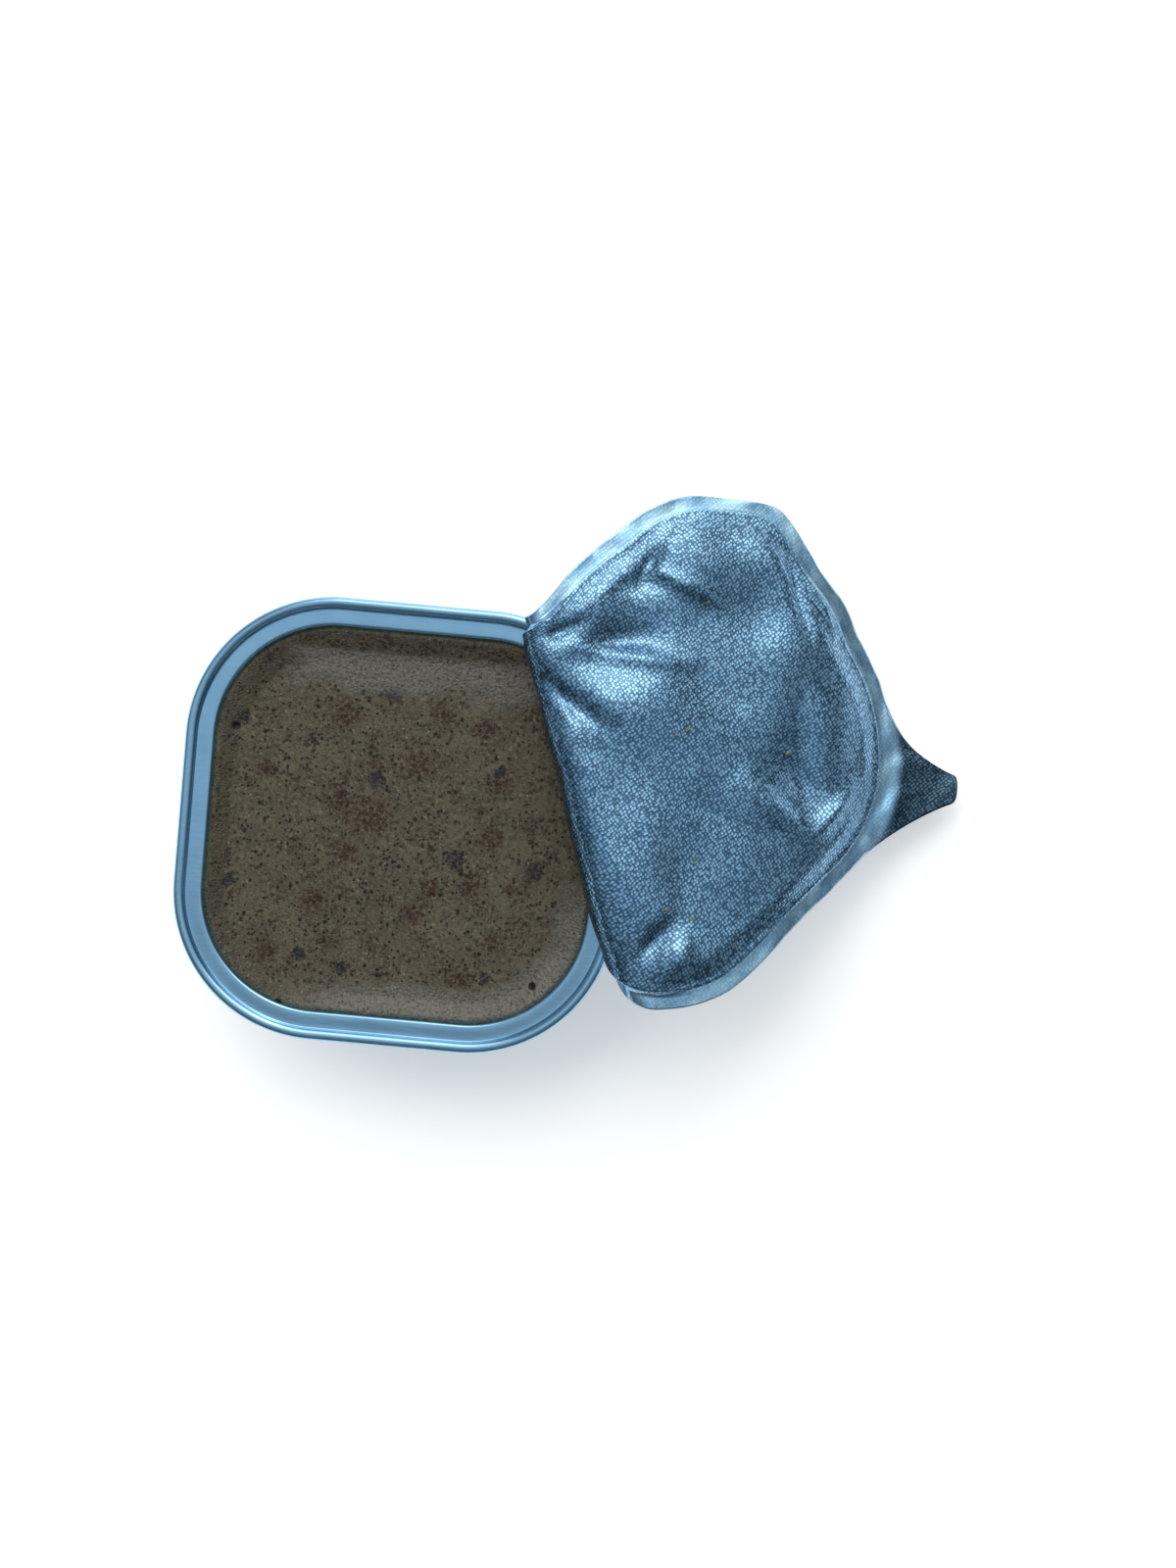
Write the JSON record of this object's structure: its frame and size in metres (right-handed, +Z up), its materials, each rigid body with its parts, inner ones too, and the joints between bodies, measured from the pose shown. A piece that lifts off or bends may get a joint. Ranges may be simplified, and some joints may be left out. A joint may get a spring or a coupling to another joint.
{
  "type": "cat food tray",
  "caption": "Open aluminium cat food tray filled with pate, its foil lid peeled back from one corner and folded over to the side, pull tab near the table.",
  "frame": {"origin": "centre of the tray's foot, on the table", "axes": "+X towards the side that the lid is folded over to, +Y to the back of the tray, +Z up"},
  "size_m": [0.157, 0.1155, 0.0353],
  "materials": {
    "tray_metal": "satin",
    "lid_foil": "embossed satin",
    "pate": "moist, fine-grained"
  },
  "bodies": {
    "root": {"tray": "tray_metal", "food": "pate", "lid": "lid_foil"}
  },
  "joints": []
}
